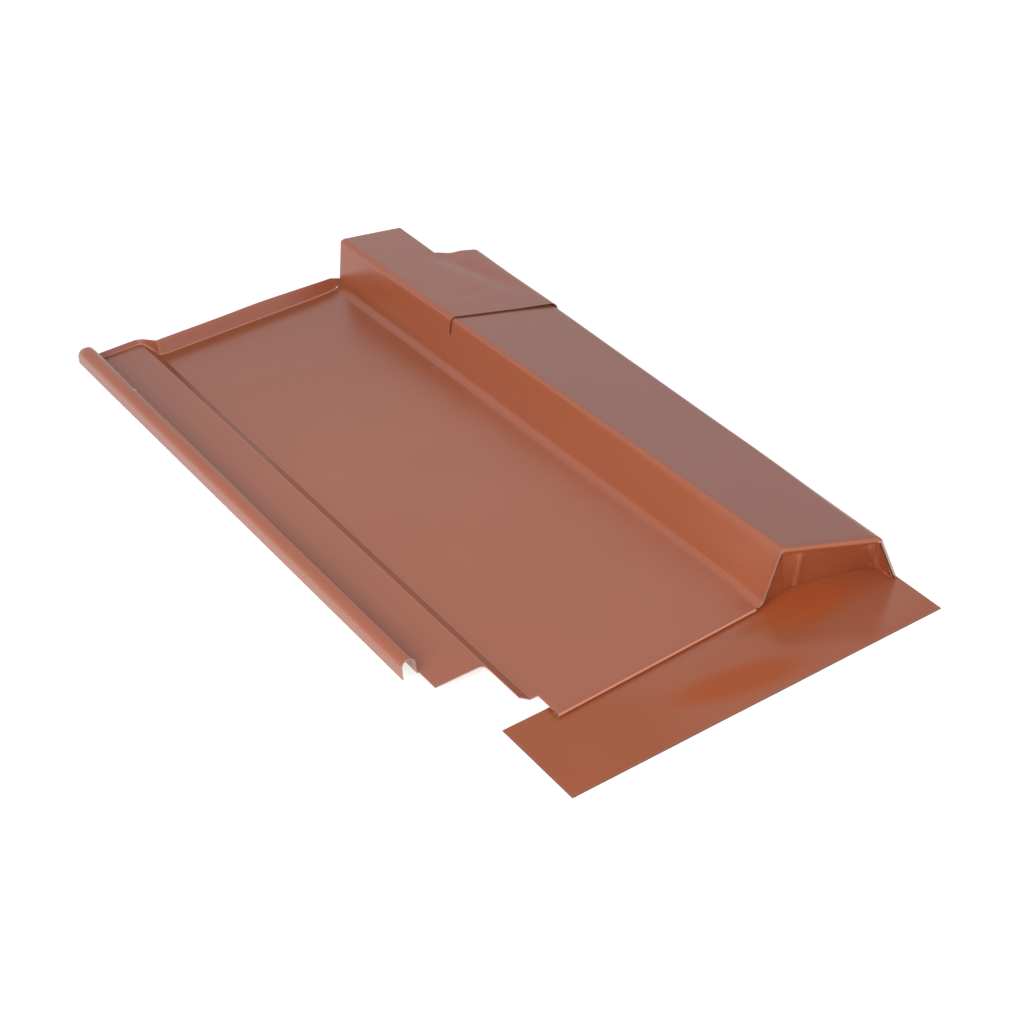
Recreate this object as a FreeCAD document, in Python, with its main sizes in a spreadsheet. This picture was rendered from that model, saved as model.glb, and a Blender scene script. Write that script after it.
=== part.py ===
"""Pressed sheet-metal roofing tile with a raised side box.

Three separate pieces of the same coated steel sheet make the tile:

roof_plate   one folded sheet: side roll, strip, sloped band, pan, back lip,
             front hem and the long side box with its closed front end
saddle_cap   a short sheet bent over the side box near its back end
front_apron  the flat sheet under the front edge that covers the course below

X runs across the tile from the side roll to the side box, Y runs up the roof
slope from the apron to the back lip, and Z is up.  The origin is the middle of
the tile's footprint, level with the underside of the apron.
"""
import FreeCAD, Part
import math
import os

import Sketcher
from FreeCAD import Placement, Rotation, Vector

# name, value in millimetres, meaning
SIZES = [
    ("gauge", 0.6, "thickness of the coated steel sheet"),
    ("fold_radius", 1.2, "outer radius of the small folds"),
    ("overall_length", 506, "apron's front edge to the side roll's back end"),
    ("roll_width", 8, "side roll, outside to outside at its front end"),
    ("roll_rise", 11, "top of the side roll above the strip"),
    ("roll_leg", 0.6, "outer edge of the side roll below the strip's top"),
    ("roll_flare", 2, "how much further out the side roll stands at its back end"),
    ("roll_setback", 15.3, "front end of the side roll behind the strip's front edge"),
    ("strip_width", 30.4, "raised strip between the side roll and the band"),
    ("strip_rise", 4.6, "strip above the pan"),
    ("strip_front", 100.3, "apron's front edge to the strip's front edge"),
    ("strip_corner", 4, "corner radius of the strip's front edge"),
    ("strip_tail", 4.7, "strip's back fold ahead of the side roll's back end"),
    ("band_run", 6.2, "width of the sloped band in plan"),
    ("band_front", 68.5, "apron's front edge to the band's front edge"),
    ("pan_stub", 4.6, "pan edge beside the band ahead of the step in the pan"),
    ("pan_width", 135.9, "flat pan from the band to the foot of the side box at the front"),
    ("pan_taper", 5, "how much narrower the pan is at its back fold"),
    ("pan_front_left", 50, "apron's front edge to the pan's front left corner"),
    ("pan_front_right", 55.3, "the same at the foot of the side box"),
    ("pan_tail", 19, "pan's back fold ahead of the side roll's back end"),
    ("hem_height", 2.4, "folded front hem, outside to outside"),
    ("hem_return", 5, "length of the hem's lower leg"),
    ("lip_rise", 9.2, "back lip above the pan"),
    ("lip_lean", 4.2, "lean of the back lip over its height"),
    ("lip_rise_strip", 7.7, "the same over the strip, also measured from the pan"),
    ("lip_rise_end", 8, "the same at the end beside the side box"),
    ("lip_gap", 2.5, "back lip's end to the foot of the side box"),
    ("jog_radius", 5, "bends of the back lip where it steps round the band"),
    ("box_width", 72.6, "foot of the side box at the front, outside to outside"),
    ("box_rise_front", 31, "top of the side box above the pan at the front"),
    ("box_rise_back", 36, "the same at the back"),
    ("box_foot_radius", 5, "bend between the pan and the side box"),
    ("box_top_radius", 3, "bends along the top of the side box"),
    ("left_lean_front", 13.5, "lean of the side box's left wall at the front"),
    ("left_lean_back", 4.4, "the same at the back"),
    ("right_lean", 12.3, "lean of the side box's right wall"),
    ("nose_left", 55.2, "apron's front edge to the box top's front left corner"),
    ("nose_right", 31, "the same at the front right corner"),
    ("nose_foot_right", 32, "the same at the foot of the right wall"),
    ("panel_top_left", 9, "front end's middle panel: its top left corner from the box top's corner"),
    ("panel_top_right", 7, "the same for its top right corner"),
    ("panel_foot_left", 28.5, "its left foot corner from the foot of the left wall"),
    ("panel_foot_right", 5.6, "its right foot corner from the foot of the right wall"),
    ("panel_back_left", 62, "apron's front edge to the middle panel's left foot corner"),
    ("panel_back_right", 47.6, "the same for its right foot corner"),
    ("nose_gap", 0.3, "clearance under the closed front end"),
    ("tail_width", 38.3, "narrow back end of the side box's top"),
    ("tail_skew", 12.5, "how far the back end of the box top runs forward to its right"),
    ("tail_length", 66, "length of the narrow back end on its right edge"),
    ("cap_gap", 0.3, "clearance between the saddle cap and the side box"),
    ("cap_back_left", 44.2, "pan's back fold to the cap's back edge at the left wall"),
    ("cap_back_middle", 56.5, "the same at the right edge of the narrow back end"),
    ("cap_back_right", 70.5, "the same at the right wall"),
    ("cap_front_left", 130.2, "pan's back fold to the cap's front edge at the left wall"),
    ("cap_front_right", 157.7, "the same at the right wall"),
    ("cap_flange_left", 11, "how far the cap reaches down the left wall"),
    ("cap_flange_right", 8, "how far the cap reaches down the right wall"),
    ("apron_depth", 60, "front to back of the apron beside the pan"),
    ("apron_tuck", 66, "front to back of the apron under the pan and the side box"),
    ("apron_inset", 22.2, "side roll's outside to the apron's left edge"),
    ("apron_overhang", 0.6, "apron's right edge beyond the foot of the right wall"),
]

doc = FreeCAD.newDocument("roofing_tile")
sheet = doc.addObject("Spreadsheet::Sheet", "sizes")
for row, (alias, value, meaning) in enumerate(SIZES, start=1):
    sheet.set(f"A{row}", meaning)
    sheet.set(f"B{row}", str(value))
    sheet.setAlias(f"B{row}", alias)
doc.recompute()


class Sizes:
    """Reads the spreadsheet's cells by their aliases."""

    def __getattr__(self, alias):
        return float(sheet.get(alias))


s = Sizes()

# Places that follow from the sizes, measured from the side roll's outside (X),
# the apron's front edge (Y) and the apron's underside (Z).
PAN_TOP = s.gauge + s.hem_height
BAND_LEFT = s.roll_width + s.strip_width
BAND_RIGHT = BAND_LEFT + s.band_run
BOX_LEFT = BAND_RIGHT + s.pan_width
BOX_LEFT_BACK = BOX_LEFT - s.pan_taper
BOX_RIGHT = BOX_LEFT + s.box_width
PAN_LEFT = BAND_RIGHT + s.pan_stub
PAN_BACK = s.overall_length - s.pan_tail
STRIP_BACK = s.overall_length - s.strip_tail
TAIL_RIGHT = BOX_LEFT_BACK + s.left_lean_back + s.tail_width
LIP_END = BOX_LEFT_BACK - s.lip_gap
BEYOND = 50  # how far the cutting solids reach past the tile
TALL = 200


# ---- folded sections ------------------------------------------------------

def offset_path(corners, distance):
    """Move an open path of (u, v, radius) corners sideways, to its left."""
    count = len(corners)
    normals = []
    for (u0, v0, _), (u1, v1, _) in zip(corners, corners[1:]):
        length = math.hypot(u1 - u0, v1 - v0)
        normals.append(((v0 - v1) / length, (u1 - u0) / length))
    moved = []
    for i, (u, v, radius) in enumerate(corners):
        before = normals[max(i - 1, 0)]
        after = normals[min(i, count - 2)]
        spread = 1 + before[0] * after[0] + before[1] * after[1]
        turn = before[0] * after[1] - before[1] * after[0]
        u += distance * (before[0] + after[0]) / spread
        v += distance * (before[1] + after[1]) / spread
        if radius:
            radius -= math.copysign(1, turn) * distance
        moved.append((u, v, radius))
    return moved


def path_edges(corners, place):
    """Lines and arcs of an open path; place(u, v) gives the point in space."""
    edges = []
    start = (corners[0][0], corners[0][1])
    for (u0, v0, _), (u1, v1, radius), (u2, v2, _) in zip(corners, corners[1:], corners[2:]):
        back = math.hypot(u0 - u1, v0 - v1)
        ahead = math.hypot(u2 - u1, v2 - v1)
        back_dir = ((u0 - u1) / back, (v0 - v1) / back)
        ahead_dir = ((u2 - u1) / ahead, (v2 - v1) / ahead)
        half = 0.5 * math.acos(back_dir[0] * ahead_dir[0] + back_dir[1] * ahead_dir[1])
        tangent = radius / math.tan(half)
        first = (u1 + tangent * back_dir[0], v1 + tangent * back_dir[1])
        last = (u1 + tangent * ahead_dir[0], v1 + tangent * ahead_dir[1])
        edges.append(Part.LineSegment(place(*start), place(*first)).toShape())
        if radius:
            reach = (radius / math.sin(half) - radius) / math.cos(half) / 2
            middle = (
                u1 + reach * (back_dir[0] + ahead_dir[0]),
                v1 + reach * (back_dir[1] + ahead_dir[1]),
            )
            edges.append(Part.Arc(place(*first), place(*middle), place(*last)).toShape())
        start = last
    edges.append(Part.LineSegment(place(*start), place(*corners[-1][:2])).toShape())
    return edges


def closed_wire(one_side, other_side, place):
    """Wire round the strip between two open paths that run the same way."""
    ends = [
        Part.LineSegment(place(*one_side[i][:2]), place(*other_side[i][:2])).toShape()
        for i in (0, -1)
    ]
    edges = path_edges(one_side, place) + path_edges(other_side, place) + ends
    return Part.Wire(Part.__sortEdges__(edges))


def section_wire(corners, thickness, y):
    """Sheet of the given thickness under an upper path of (x, z, radius) corners."""
    return closed_wire(corners, offset_path(corners, -thickness), lambda x, z: Vector(x, y, z))


def blend(front, back, y):
    """A size that changes evenly from the side box's front to its back."""
    share = (y - s.nose_left) / (PAN_BACK - s.nose_left)
    return front + (back - front) * share


def box_corners(y):
    """Upper corners of the side box across the tile: foot, top, top and foot."""
    foot = blend(BOX_LEFT, BOX_LEFT_BACK, y)
    top = PAN_TOP + blend(s.box_rise_front, s.box_rise_back, y)
    left = foot + blend(s.left_lean_front, s.left_lean_back, y)
    return [
        (foot, PAN_TOP, s.box_foot_radius),
        (left, top, s.box_top_radius),
        (BOX_RIGHT - s.right_lean, top, s.box_top_radius),
        (BOX_RIGHT, s.gauge + s.nose_gap, 0),
    ]


def roll_left(y):
    """Outside of the side roll, which flares a little towards its back end."""
    return -s.roll_flare * y / s.overall_length


def flat_corners(y):
    """Upper corners from the side roll to the pan."""
    strip_top = PAN_TOP + s.strip_rise
    roll_top = strip_top + s.roll_rise
    roll_radius = 0.47 * s.roll_width
    return [
        (roll_left(y), strip_top - s.roll_leg, 0),
        (roll_left(y), roll_top, roll_radius),
        (s.roll_width, roll_top, roll_radius),
        (s.roll_width, strip_top, s.fold_radius),
        (BAND_LEFT, strip_top, s.fold_radius + s.gauge),
        (BAND_RIGHT, PAN_TOP, s.fold_radius),
    ]


def lofted(wire_at, y_front, y_back):
    """Solid between the same section at two places along the tile."""
    return Part.makeLoft([wire_at(y_front), wire_at(y_back)], True, True)


def folded_blank():
    """The whole folded sheet before its edges are cut."""

    def section(y):
        return section_wire(flat_corners(y) + box_corners(y), s.gauge, y)
    return lofted(section, 0, s.overall_length)


def box_core():
    """Everything inside the outer faces of the side box, down to its feet."""
    def wire_at(y):
        corners = box_corners(y)
        corners[0] = (corners[0][0], s.gauge + s.nose_gap, 0)
        edges = path_edges(corners, lambda x, z: Vector(x, y, z))
        ends = [Vector(corners[i][0], y, corners[i][1]) for i in (-1, 0)]
        return Part.Wire(edges + [Part.LineSegment(*ends).toShape()])
    return lofted(wire_at, 0, s.overall_length)


def under_the_sheet():
    """Everything below the roll, strip, band and pan."""
    def wire_at(y):
        lower = offset_path(flat_corners(y) + [(BOX_LEFT, PAN_TOP, 0)], -s.gauge)
        ground = [(lower[0][0], -BEYOND), (lower[-1][0], -BEYOND)]
        place = lambda x, z: Vector(x, y, z)
        ends = [place(*lower[-1][:2]), place(*ground[1]), place(*ground[0]), place(*lower[0][:2])]
        edges = path_edges(lower, place)
        edges += [Part.LineSegment(a, b).toShape() for a, b in zip(ends, ends[1:])]
        return Part.Wire(edges)
    return lofted(wire_at, 0, s.overall_length + BEYOND)


# ---- outline in plan ------------------------------------------------------

def plan_face(corners):
    """Flat face at Z = 0 inside closed (x, y, radius) corners; the first has no radius."""
    place = lambda x, y: Vector(x, y, 0)
    return Part.Face(Part.Wire(path_edges(corners + corners[:1], place)))


def upright(face):
    """Prism that stands far above and below the tile."""
    face.translate(Vector(0, 0, -TALL / 2))
    return face.extrude(Vector(0, 0, TALL))


def sheet_outline():
    """Prism that trims the folded blank all round, but for the back lip."""
    roll_front = s.strip_front + s.roll_setback
    far_right = BOX_RIGHT + BEYOND
    nose_top_left = BOX_LEFT + s.left_lean_front
    nose_top_right = BOX_RIGHT - s.right_lean
    tail_front = PAN_BACK - s.tail_skew - s.tail_length
    roll_side = s.roll_width - s.gauge / 2
    return upright(plan_face([
        (-BEYOND, roll_front, 0),
        (roll_side, roll_front, 0),
        (roll_side, s.strip_front, 0),
        (BAND_LEFT, s.strip_front, s.strip_corner),
        (BAND_LEFT, s.band_front, 0),
        (PAN_LEFT, s.band_front, 0),
        (PAN_LEFT, s.pan_front_left, 0),
        (BOX_LEFT, s.pan_front_right, 0),
        (nose_top_left, s.nose_left, 0),
        (nose_top_right, s.nose_right, 0),
        (BOX_RIGHT, s.nose_foot_right, 0),
        (far_right, s.nose_foot_right, 0),
        (far_right, tail_front, 0),
        (TAIL_RIGHT, tail_front, 0),
        (TAIL_RIGHT, PAN_BACK - s.tail_skew, 0),
        (BOX_LEFT_BACK, PAN_BACK, 0),
        (LIP_END, PAN_BACK, 0),
        (LIP_END, s.overall_length + BEYOND, 0),
        (-BEYOND, s.overall_length + BEYOND, 0),
    ]))


# ---- back lip, front hem and closed front end ------------------------------

LIP_DIRECTION = Vector(0, s.lip_lean, s.lip_rise)


def lip_path():
    """Line of the back fold at the pan's underside, stepped round the band."""
    drop = (s.strip_rise + s.gauge) * s.lip_lean / s.lip_rise
    return [
        (s.roll_width - s.gauge / 2, STRIP_BACK - drop, 0),
        (BAND_LEFT, STRIP_BACK - drop, s.jog_radius + s.gauge),
        (BAND_RIGHT + s.gauge, PAN_BACK, s.jog_radius),
        (LIP_END, PAN_BACK, 0),
    ]


def above_the_lip():
    """Everything above the lip's top edge, which is lower over the strip and at its end."""
    place = lambda x, z: Vector(x, 0, PAN_TOP + z)
    corners = [
        (0, TALL, 0),
        (0, s.lip_rise_strip, 0),
        (BAND_LEFT, s.lip_rise_strip, 0),
        (PAN_LEFT, s.lip_rise, 0),
        ((PAN_LEFT + LIP_END) / 2, s.lip_rise, 0),
        (LIP_END, s.lip_rise_end, 0),
        (LIP_END + BEYOND, s.lip_rise_end, 0),
        (LIP_END + BEYOND, TALL, 0),
    ]
    face = Part.Face(Part.Wire(path_edges(corners + corners[:1], place)))
    return face.extrude(Vector(0, s.overall_length + BEYOND, 0))


def back_lip():
    """The turned-up back edge of the strip, band and pan."""
    place = lambda x, y: Vector(x, y, PAN_TOP - s.gauge)
    face = Part.Face(closed_wire(lip_path(), offset_path(lip_path(), s.gauge), place))
    reach = (s.lip_rise + s.gauge) / s.lip_rise
    return face.extrude(LIP_DIRECTION * reach).cut([under_the_sheet(), above_the_lip()])


def behind_the_lip():
    """Everything behind the back face of the lip, beside the side roll."""
    path = offset_path(lip_path(), s.gauge)
    far = [(path[-1][0], s.overall_length + BEYOND, 0), (path[0][0], s.overall_length + BEYOND, 0)]
    face = plan_face([path[0]] + path[1:] + far)
    face.translate(Vector(0, 0, PAN_TOP - s.gauge) - LIP_DIRECTION)
    return face.extrude(LIP_DIRECTION * 4)


def front_hem():
    """The pan's front edge, folded down and back under itself."""
    nose = s.hem_height / 2
    start = (PAN_LEFT, s.pan_front_left + s.fold_radius)
    end_x = BOX_LEFT - s.box_foot_radius
    rise = (s.pan_front_right - s.pan_front_left) / (BOX_LEFT - PAN_LEFT)
    y = start[1]
    outer = [
        (y + s.hem_return / 2, PAN_TOP, 0),
        (y - nose, PAN_TOP, 0.95 * nose),
        (y - nose, PAN_TOP - s.hem_height, 0.95 * nose),
        (y - nose + s.hem_return, PAN_TOP - s.hem_height, 0),
    ]
    place = lambda v, z: Vector(start[0], v, z)
    face = Part.Face(closed_wire(outer, offset_path(outer, s.gauge), place))
    return face.extrude(Vector(end_x - start[0], (end_x - start[0]) * rise, 0))


def closed_nose():
    """The folded-down front end of the side box: a middle panel and two tucked side panels."""
    top = PAN_TOP + s.box_rise_front - s.gauge / 2
    foot = s.gauge + s.nose_gap
    top_left = BOX_LEFT + s.left_lean_front
    top_right = BOX_RIGHT - s.right_lean
    slant = (s.nose_right - s.nose_left) / (top_right - top_left)
    inset = s.fold_radius + s.gauge
    panel_ends = (
        top_left - inset,
        top_left + s.panel_top_left,
        top_right - s.panel_top_right,
        top_right + inset,
    )
    upper = [Vector(x, s.nose_left + slant * (x - top_left) + inset, top) for x in panel_ends]
    lower = [
        Vector(BOX_LEFT - inset, s.pan_front_right + inset, foot),
        Vector(BOX_LEFT + s.panel_foot_left, s.panel_back_left, foot),
        Vector(BOX_RIGHT - s.panel_foot_right, s.panel_back_right, foot),
        Vector(BOX_RIGHT + inset, s.panel_back_right, foot),
    ]
    back = Vector(0, s.gauge, 0)
    wires = []
    for points in (upper, lower):
        loop = points + [point + back for point in reversed(points)]
        wires.append(Part.makePolygon(loop + loop[:1]))
    return Part.makeLoft(wires, True, True).common(box_core())


def roof_plate():
    """The one folded sheet of the tile, in one solid."""
    plate = folded_blank().common(sheet_outline()).cut(behind_the_lip())
    return plate.fuse([back_lip(), front_hem(), closed_nose()]).removeSplitter()


# ---- saddle cap ------------------------------------------------------------

def saddle_cap():
    """The short sheet bent over the side box, cut obliquely front and back."""
    def wire_at(y):
        left_foot, left_top, right_top, right_foot = box_corners(y)

        def flange_edge(foot, top, flange):
            share = flange / (top[1] - foot[1])
            return (top[0] + share * (foot[0] - top[0]), top[1] - flange, 0)

        left_edge = flange_edge(left_foot, left_top, s.cap_flange_left)
        right_edge = flange_edge(right_foot, right_top, s.cap_flange_right)
        path = [left_edge, left_top, right_top, right_edge]
        return section_wire(offset_path(path, s.cap_gap + s.gauge), s.gauge, y)

    left = BOX_LEFT - BEYOND
    right = BOX_RIGHT + BEYOND
    wall_left = BOX_LEFT_BACK + s.left_lean_back
    wall_right = BOX_RIGHT - s.right_lean
    outline = upright(plan_face([
        (left, PAN_BACK - s.cap_front_left, 0),
        (wall_left, PAN_BACK - s.cap_front_left, 0),
        (wall_right, PAN_BACK - s.cap_front_right, 0),
        (right, PAN_BACK - s.cap_front_right, 0),
        (right, PAN_BACK - s.cap_back_right, 0),
        (wall_right, PAN_BACK - s.cap_back_right, 0),
        (TAIL_RIGHT, PAN_BACK - s.cap_back_middle, 0),
        (wall_left, PAN_BACK - s.cap_back_left, 0),
        (left, PAN_BACK - s.cap_back_left, 0),
    ]))
    return lofted(wire_at, 0, s.overall_length).common(outline).removeSplitter()


# ---- document objects --------------------------------------------------------

def add_shape(label, shape):
    """A sub-part whose bends ride on offset curves, as a feature with a worked-out shape."""
    feature = doc.addObject("Part::Feature", label)
    feature.Label = label
    feature.Shape = shape
    return feature


def bind_outline(sketch, corners):
    """Closed outline of straight sides whose corners are pairs of sheet expressions."""
    points = [Vector(*[value_of(expression) for expression in corner]) for corner in corners]
    for first, second in zip(points, points[1:] + points[:1]):
        sketch.addGeometry(Part.LineSegment(first, second), False)
    for side, corner in enumerate(corners):
        sketch.addConstraint(Sketcher.Constraint("Coincident", side, 2, (side + 1) % len(corners), 1))
        for kind, expression in zip(("DistanceX", "DistanceY"), corner):
            distance = Sketcher.Constraint(kind, -1, 1, side, 1, value_of(expression))
            index = sketch.addConstraint(distance)
            sketch.setExpression(f"Constraints[{index}]", expression)


def value_of(expression):
    """Value of a sum of sheet cells and whole numbers."""
    total = 0
    for term in expression.split(" + "):
        if "." in term:
            total += float(sheet.get(term.split(".")[1]))
        else:
            total += float(term)
    return total


def add_apron():
    """The flat apron, padded from an outline whose corners are bound to the sheet."""
    body = doc.addObject("PartDesign::Body", "front_apron")
    body.Label = "front_apron"
    sketch = body.newObject("Sketcher::SketchObject", "apron_outline")
    ground = [plane for plane in body.Origin.OriginFeatures if plane.Role == "XY_Plane"][0]
    sketch.AttachmentSupport = [(ground, "")]
    sketch.MapMode = "FlatFace"
    left = "sizes.apron_inset"
    step = "sizes.roll_width + sizes.strip_width + sizes.band_run + sizes.pan_stub + sizes.pan_stub"
    right = "sizes.roll_width + sizes.strip_width + sizes.band_run + sizes.pan_width"
    right += " + sizes.box_width + sizes.apron_overhang"
    corners = [
        (left, "0"),
        (right, "0"),
        (right, "sizes.apron_tuck"),
        (step, "sizes.apron_tuck"),
        (step, "sizes.apron_depth"),
        (left, "sizes.apron_depth"),
    ]
    bind_outline(sketch, corners)
    pad = body.newObject("PartDesign::Pad", "apron_sheet")
    pad.Profile = sketch
    pad.setExpression("Length", "sizes.gauge")
    body.Tip = pad
    return body


SUB_PARTS = [add_shape("roof_plate", roof_plate()), add_shape("saddle_cap", saddle_cap()), add_apron()]
MIDDLE_X = (BOX_RIGHT + s.apron_overhang - s.roll_flare) / 2
for sub_part in SUB_PARTS:
    sub_part.Placement = Placement(Vector(-MIDDLE_X, -s.overall_length / 2, 0), Rotation())
doc.recompute()

for item in doc.Objects:
    if "Invalid" in item.State or "Error" in item.State:
        raise RuntimeError(f"{item.Label} failed to build")
for sub_part in SUB_PARTS:
    if sub_part.Shape.isNull() or not sub_part.Shape.isValid():
        raise RuntimeError(f"{sub_part.Label} has no valid shape")
    if len(sub_part.Shape.Solids) != 1:
        raise RuntimeError(f"{sub_part.Label} isn't one solid")

os.makedirs("parts", exist_ok=True)
for sub_part in SUB_PARTS:
    sub_part.Shape.exportStep(f"parts/{sub_part.Label}.step")
    box = sub_part.Shape.BoundBox
    corners = (box.XMin, box.XMax, box.YMin, box.YMax, box.ZMin, box.ZMax)
    print(sub_part.Label, [round(corner, 1) for corner in corners])
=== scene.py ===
"""Looks of the sheet-metal roofing tile: its three sheets as fine folded meshes with a
glossy terracotta coating, on a pale floor in soft studio light."""

import math

import bmesh
import bpy
from mathutils import Matrix, Vector, noise


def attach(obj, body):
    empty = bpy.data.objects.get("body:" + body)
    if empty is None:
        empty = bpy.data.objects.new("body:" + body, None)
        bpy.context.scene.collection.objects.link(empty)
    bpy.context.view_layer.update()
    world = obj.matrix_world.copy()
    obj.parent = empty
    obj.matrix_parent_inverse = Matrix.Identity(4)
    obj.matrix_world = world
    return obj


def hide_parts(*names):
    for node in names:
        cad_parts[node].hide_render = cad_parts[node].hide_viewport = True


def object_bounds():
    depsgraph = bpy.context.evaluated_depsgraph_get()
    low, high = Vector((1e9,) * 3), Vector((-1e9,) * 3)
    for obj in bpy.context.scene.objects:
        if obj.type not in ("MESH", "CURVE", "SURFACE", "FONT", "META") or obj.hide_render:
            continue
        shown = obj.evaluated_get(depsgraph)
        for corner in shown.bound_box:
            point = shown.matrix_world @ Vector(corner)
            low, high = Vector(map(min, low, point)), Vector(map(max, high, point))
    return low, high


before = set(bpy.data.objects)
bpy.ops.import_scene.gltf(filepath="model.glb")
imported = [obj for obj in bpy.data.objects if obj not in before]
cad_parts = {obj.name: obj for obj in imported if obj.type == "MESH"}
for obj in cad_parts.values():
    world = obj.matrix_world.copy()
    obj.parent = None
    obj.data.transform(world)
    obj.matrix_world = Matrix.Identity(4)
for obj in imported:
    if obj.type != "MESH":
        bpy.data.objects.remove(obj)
cad_low, cad_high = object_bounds()

# ---- sizes in millimetres ---------------------------------------------------
# Tile coordinates: x from the side roll's front end, y from the apron's front
# edge and z from the apron's underside.
GAUGE = 0.6
FOLD = 1.2
ROLL_FLARE = 2.0
LENGTH = 1000 * (cad_high.y - cad_low.y)

PAN_TOP = 3.0
STRIP_TOP = PAN_TOP + 4.6
ROLL_TOP = STRIP_TOP + 11.0
ROLL_WIDTH = 8.0
BAND_LEFT = 38.4
BAND_RIGHT = 44.6
PAN_LEFT = 49.2
LIP_END = 173.0

BOX_LEFT = (180.5, 175.5)        # foot of the side box's left wall, front and back
BOX_TOP_LEFT = (194.0, 179.9)
BOX_TOP_RIGHT = 240.8
BOX_RIGHT = 253.1
BOX_TOP = (PAN_TOP + 31.0, PAN_TOP + 36.0)
BOX_FOOT = GAUGE + 0.3
FOOT_RADIUS = 5                  # inner bend between the pan and the box
SHOULDER_RADIUS = 3              # bends along the box's top
FRONT_SHOULDER_EXTRA = 2.5       # how much rounder the right shoulder is at the front end

ROLL_FRONT = 115.6
STRIP_FRONT = 100.3
STRIP_CORNER = 4.0               # rounding of the strip's front right corner
BAND_FRONT = 68.5
PAN_FRONT = (50.0, 55.3)         # front edge of the pan at its left and right
NOSE = (55.2, 31.0)              # front edge of the box top at its left and right
NOSE_FOOT = 32.0
PAN_BACK = LENGTH - 19.0
STRIP_BACK = LENGTH - 4.7
TAIL_RIGHT = 218.2
TAIL_BACK = PAN_BACK - 12.5
TAIL_FRONT = PAN_BACK - 78.5

HEM_RADIUS = 1.2
HEM_RETURN = 3.8                 # how far the hem runs back under the pan
NOSE_RADIUS = 1.4
HEM_END = 177.6                  # where the pan's hem meets the roll of the box's front
LIP_RADIUS = 1.5
LIP_LEAN = math.atan2(4.2, 9.2)
LIP_HEIGHTS = (7.7, 9.2)         # of its crest over the pan's top, along the strip and along the pan
LIP_FALL = 1.1                   # how much the crest falls towards the box
LIP_END_FALL = 3.2               # and how much more over its last few millimetres
LIP_TURNS = (6.5, 5.5)           # radii in plan where the lip steps round the band

MARGIN = 9                       # how far a trimming outline runs past a sheet's uncut side

APRON_LEFT = 22.2
APRON_RIGHT = 253.7
APRON_DEPTH = 60.0
APRON_TUCK = 66.0                # how far back the apron reaches under the plate

# Unevenness of the pressed sheets.
PAN_WAVE = 0.22
PAN_RIPPLE = 0.05
WALL_RISE = 1.4                  # how much the pan rises towards the box's wall
ROLL_DROP = 2.4                  # how much the side roll drops at its back end
ROLL_DROP_LENGTH = 6
TOP_WAVE = 0.16
TOP_SINK = 0.25
COVERED_SINK = 1.3               # how much lower the box top lies under the cap
LIP_RIPPLE = 0.25
LIP_REACH = 6.5                  # how far the lip's right end runs on towards the box


def place(point):
    """Point of the row frame, in metres, from tile coordinates in millimetres."""
    return cad_low + 0.001 * Vector((point[0] + ROLL_FLARE, point[1], point[2]))


def smooth(low, high, value):
    """0 below low, 1 above high, and an even curve between."""
    share = min(max((value - low) / (high - low), 0), 1)
    return share * share * (3 - 2 * share)


def bell(value, centre, width):
    """1 at the centre, fading to nothing over about two widths."""
    return math.exp(-((value - centre) / width) ** 2)


def waves(x, y, size, seed):
    """Even random height field, about -1 to 1, with bumps of that size."""
    return 2 * noise.noise(Vector((x / size, y / size, seed)))


def between(ends, share):
    """Value that far from the first end to the second."""
    return ends[0] + (ends[1] - ends[0]) * share


# ---- folded sections ----------------------------------------------------------

def offset_path(corners, distance):
    """Moves an open path of (u, v, radius) corners sideways, to its left."""
    normals = []
    for (u0, v0, _), (u1, v1, _) in zip(corners, corners[1:]):
        length = math.hypot(u1 - u0, v1 - v0)
        normals.append(((v0 - v1) / length, (u1 - u0) / length))
    moved = []
    for i, (u, v, radius) in enumerate(corners):
        before = normals[max(i - 1, 0)]
        after = normals[min(i, len(normals) - 1)]
        spread = 1 + before[0] * after[0] + before[1] * after[1]
        turn = before[0] * after[1] - before[1] * after[0]
        if radius:
            radius -= math.copysign(1, turn) * distance
        moved.append((u + distance * (before[0] + after[0]) / spread,
                      v + distance * (before[1] + after[1]) / spread, radius))
    return moved


def path_points(corners, counts, arc_steps=7):
    """Points along an open path with rounded corners; counts gives the spans of each straight run."""
    points = [corners[0][:2]]
    for run, (corner, following) in enumerate(zip(corners[1:], corners[2:] + [None])):
        u, v, radius = corner
        start = points[-1]
        if following is None:
            first = (u, v)
        else:
            back = Vector((start[0] - u, start[1] - v)).normalized()
            ahead = Vector((following[0] - u, following[1] - v)).normalized()
            half = 0.5 * math.acos(max(-1, min(1, back.dot(ahead))))
            tangent = radius / math.tan(half)
            first = (u + tangent * back.x, v + tangent * back.y)
        for k in range(1, counts[run] + 1):
            share = k / counts[run]
            points.append((between((start[0], first[0]), share), between((start[1], first[1]), share)))
        if following is None or not radius:
            continue
        middle = Vector((u, v)) + (back + ahead).normalized() * (radius / math.sin(half))
        arm = Vector(first) - middle
        sweep = math.pi - 2 * half
        if back.x * ahead.y - back.y * ahead.x > 0:
            sweep = -sweep
        for k in range(1, arc_steps + 1):
            turned = Matrix.Rotation(sweep * k / arc_steps, 2) @ arm
            points.append((middle.x + turned.x, middle.y + turned.y))
    return points


def box_share(y):
    """How far along the side box y lies: 0 at its front, 1 at the back fold."""
    return (y - NOSE[0]) / (PAN_BACK - NOSE[0])


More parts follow.
